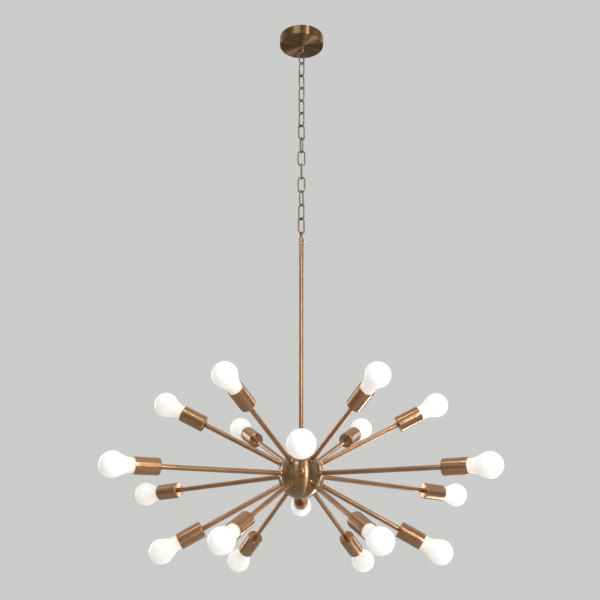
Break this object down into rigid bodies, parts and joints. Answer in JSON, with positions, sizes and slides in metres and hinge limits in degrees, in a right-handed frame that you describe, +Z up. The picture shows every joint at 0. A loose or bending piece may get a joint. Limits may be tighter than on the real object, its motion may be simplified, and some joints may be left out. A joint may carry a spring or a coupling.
{
  "type": "sputnik chandelier",
  "caption": "Chandelier with a ball hub on a stem and chain, from which straight arms radiate in three rings, each ending in a cup with an opal globe bulb.",
  "frame": {"origin": "centre of the canopy's rim, on the hanging axis where the canopy meets the ceiling", "axes": "+Z up along the hanging axis to the ceiling, +X along the ceiling bar, -Y towards the front light of the middle ring"},
  "size_m": [0.8908, 1.0194, 1.4762],
  "materials": {
    "canopy_metal": "brushed antique",
    "lamp_metal": "brushed copper bronze",
    "chain_metal": "dull antique",
    "fittings": "zinc plated",
    "screw_bright": "bright",
    "opal_glass": "opal, lit",
    "holder": "plain",
    "contact_metal": "bright"
  },
  "bodies": {
    "ceiling": {"ceiling_bar": "fittings", "bar_top_nut": "fittings", "bar_lock_nut": "fittings", "hanging_rod": "fittings", "canopy_nut": "fittings", "canopy": "canopy_metal", "canopy_loop": "canopy_metal", "ground_screw": "fittings"},
    "link_01": {"chain_link_01": "chain_metal"},
    "link_02": {"chain_link_02": "chain_metal"},
    "link_03": {"chain_link_03": "chain_metal"},
    "link_04": {"chain_link_04": "chain_metal"},
    "link_05": {"chain_link_05": "chain_metal"},
    "link_06": {"chain_link_06": "chain_metal"},
    "link_07": {"chain_link_07": "chain_metal"},
    "link_08": {"chain_link_08": "chain_metal"},
    "link_09": {"chain_link_09": "chain_metal"},
    "link_10": {"chain_link_10": "chain_metal"},
    "link_11": {"chain_link_11": "chain_metal"},
    "link_12": {"chain_link_12": "chain_metal"},
    "link_13": {"chain_link_13": "chain_metal"},
    "link_14": {"chain_link_14": "chain_metal"},
    "lamp": {"stem_loop": "lamp_metal", "stem_set_screw": "screw_bright", "stem_tube": "lamp_metal", "hub_shell": "lamp_metal", "hub_cap": "lamp_metal", "hub_collars": "lamp_metal", "hub_nuts": "fittings", "arms_upper": "lamp_metal", "cups_upper": "lamp_metal", "lampholders_upper": "holder", "arms_middle": "lamp_metal", "cups_middle": "lamp_metal", "lampholders_middle": "holder", "arms_lower": "lamp_metal", "cups_lower": "lamp_metal", "lampholders_lower": "holder", "cup_nuts": "fittings", "screw_shells": "contact_metal", "centre_contacts": "contact_metal"},
    "bulb_01": {"bulb_01": "opal_glass"},
    "bulb_02": {"bulb_02": "opal_glass"},
    "bulb_03": {"bulb_03": "opal_glass"},
    "bulb_04": {"bulb_04": "opal_glass"},
    "bulb_05": {"bulb_05": "opal_glass"},
    "bulb_06": {"bulb_06": "opal_glass"},
    "bulb_07": {"bulb_07": "opal_glass"},
    "bulb_08": {"bulb_08": "opal_glass"},
    "bulb_09": {"bulb_09": "opal_glass"},
    "bulb_10": {"bulb_10": "opal_glass"},
    "bulb_11": {"bulb_11": "opal_glass"},
    "bulb_12": {"bulb_12": "opal_glass"},
    "bulb_13": {"bulb_13": "opal_glass"},
    "bulb_14": {"bulb_14": "opal_glass"},
    "bulb_15": {"bulb_15": "opal_glass"},
    "bulb_16": {"bulb_16": "opal_glass"},
    "bulb_17": {"bulb_17": "opal_glass"},
    "bulb_18": {"bulb_18": "opal_glass"}
  },
  "joints": [
    {"name": "link_01_swing", "type": "hinge", "parent": "ceiling", "child": "link_01", "pos_m": [0, 0, -0.0485], "axis": [0.7071, -0.7071, 0], "range_deg": [-60, 60]},
    {"name": "link_02_swing", "type": "hinge", "parent": "link_01", "child": "link_02", "pos_m": [0, 0, -0.0892], "axis": [0.7071, 0.7071, 0], "range_deg": [-60, 60]},
    {"name": "link_03_swing", "type": "hinge", "parent": "link_02", "child": "link_03", "pos_m": [0, 0, -0.1299], "axis": [-0.7071, 0.7071, 0], "range_deg": [-60, 60]},
    {"name": "link_04_swing", "type": "hinge", "parent": "link_03", "child": "link_04", "pos_m": [0, 0, -0.1706], "axis": [-0.7071, -0.7071, 0], "range_deg": [-60, 60]},
    {"name": "link_05_swing", "type": "hinge", "parent": "link_04", "child": "link_05", "pos_m": [0, 0, -0.2113], "axis": [0.7071, -0.7071, 0], "range_deg": [-60, 60]},
    {"name": "link_06_swing", "type": "hinge", "parent": "link_05", "child": "link_06", "pos_m": [0, 0, -0.252], "axis": [0.7071, 0.7071, 0], "range_deg": [-60, 60]},
    {"name": "link_07_swing", "type": "hinge", "parent": "link_06", "child": "link_07", "pos_m": [0, 0, -0.2927], "axis": [-0.7071, 0.7071, 0], "range_deg": [-60, 60]},
    {"name": "link_08_swing", "type": "hinge", "parent": "link_07", "child": "link_08", "pos_m": [0, 0, -0.3334], "axis": [-0.8434, -0.5373, 0], "range_deg": [-60, 60]},
    {"name": "link_09_swing", "type": "hinge", "parent": "link_08", "child": "link_09", "pos_m": [0, 0, -0.3741], "axis": [0.342, -0.9397, 0], "range_deg": [-60, 60]},
    {"name": "link_10_swing", "type": "hinge", "parent": "link_09", "child": "link_10", "pos_m": [0, 0, -0.4148], "axis": [0.9914, 0.1305, 0], "range_deg": [-60, 60]},
    {"name": "link_11_swing", "type": "hinge", "parent": "link_10", "child": "link_11", "pos_m": [0, 0, -0.4555], "axis": [0.0872, 0.9962, 0], "range_deg": [-60, 60]},
    {"name": "link_12_swing", "type": "hinge", "parent": "link_11", "child": "link_12", "pos_m": [0, 0, -0.4962], "axis": [-0.9537, 0.3007, 0], "range_deg": [-60, 60]},
    {"name": "link_13_swing", "type": "hinge", "parent": "link_12", "child": "link_13", "pos_m": [0, 0, -0.5369], "axis": [-0.5, -0.866, 0], "range_deg": [-60, 60]},
    {"name": "link_14_swing", "type": "hinge", "parent": "link_13", "child": "link_14", "pos_m": [0, 0, -0.5776], "axis": [0.7373, -0.6756, 0], "range_deg": [-60, 60]},
    {"name": "lamp_swing", "type": "hinge", "parent": "link_14", "child": "lamp", "pos_m": [0, 0, -0.6183], "axis": [0.8192, 0.5736, 0], "range_deg": [-60, 60]},
    {"name": "bulb_01_unscrew", "type": "slide", "parent": "lamp", "child": "bulb_01", "axis": [0.4455, -0.7716, 0.454], "range_m": [0, 0.03]},
    {"name": "bulb_02_unscrew", "type": "slide", "parent": "lamp", "child": "bulb_02", "axis": [0.891, 0, 0.454], "range_m": [0, 0.03]},
    {"name": "bulb_03_unscrew", "type": "slide", "parent": "lamp", "child": "bulb_03", "axis": [0.4455, 0.7716, 0.454], "range_m": [0, 0.03]},
    {"name": "bulb_04_unscrew", "type": "slide", "parent": "lamp", "child": "bulb_04", "axis": [-0.4455, 0.7716, 0.454], "range_m": [0, 0.03]},
    {"name": "bulb_05_unscrew", "type": "slide", "parent": "lamp", "child": "bulb_05", "axis": [-0.891, 0, 0.454], "range_m": [0, 0.03]},
    {"name": "bulb_06_unscrew", "type": "slide", "parent": "lamp", "child": "bulb_06", "axis": [-0.4455, -0.7716, 0.454], "range_m": [0, 0.03]},
    {"name": "bulb_07_unscrew", "type": "slide", "parent": "lamp", "child": "bulb_07", "axis": [0, -0.9994, -0.0349], "range_m": [0, 0.03]},
    {"name": "bulb_08_unscrew", "type": "slide", "parent": "lamp", "child": "bulb_08", "axis": [0.8655, -0.4997, -0.0349], "range_m": [0, 0.03]},
    {"name": "bulb_09_unscrew", "type": "slide", "parent": "lamp", "child": "bulb_09", "axis": [0.8655, 0.4997, -0.0349], "range_m": [0, 0.03]},
    {"name": "bulb_10_unscrew", "type": "slide", "parent": "lamp", "child": "bulb_10", "axis": [0, 0.9994, -0.0349], "range_m": [0, 0.03]},
    {"name": "bulb_11_unscrew", "type": "slide", "parent": "lamp", "child": "bulb_11", "axis": [-0.8655, 0.4997, -0.0349], "range_m": [0, 0.03]},
    {"name": "bulb_12_unscrew", "type": "slide", "parent": "lamp", "child": "bulb_12", "axis": [-0.8655, -0.4997, -0.0349], "range_m": [0, 0.03]},
    {"name": "bulb_13_unscrew", "type": "slide", "parent": "lamp", "child": "bulb_13", "axis": [0.4373, -0.7574, -0.4848], "range_m": [0, 0.03]},
    {"name": "bulb_14_unscrew", "type": "slide", "parent": "lamp", "child": "bulb_14", "axis": [0.8746, 0, -0.4848], "range_m": [0, 0.03]},
    {"name": "bulb_15_unscrew", "type": "slide", "parent": "lamp", "child": "bulb_15", "axis": [0.4373, 0.7574, -0.4848], "range_m": [0, 0.03]},
    {"name": "bulb_16_unscrew", "type": "slide", "parent": "lamp", "child": "bulb_16", "axis": [-0.4373, 0.7574, -0.4848], "range_m": [0, 0.03]},
    {"name": "bulb_17_unscrew", "type": "slide", "parent": "lamp", "child": "bulb_17", "axis": [-0.8746, 0, -0.4848], "range_m": [0, 0.03]},
    {"name": "bulb_18_unscrew", "type": "slide", "parent": "lamp", "child": "bulb_18", "axis": [-0.4373, -0.7574, -0.4848], "range_m": [0, 0.03]}
  ]
}
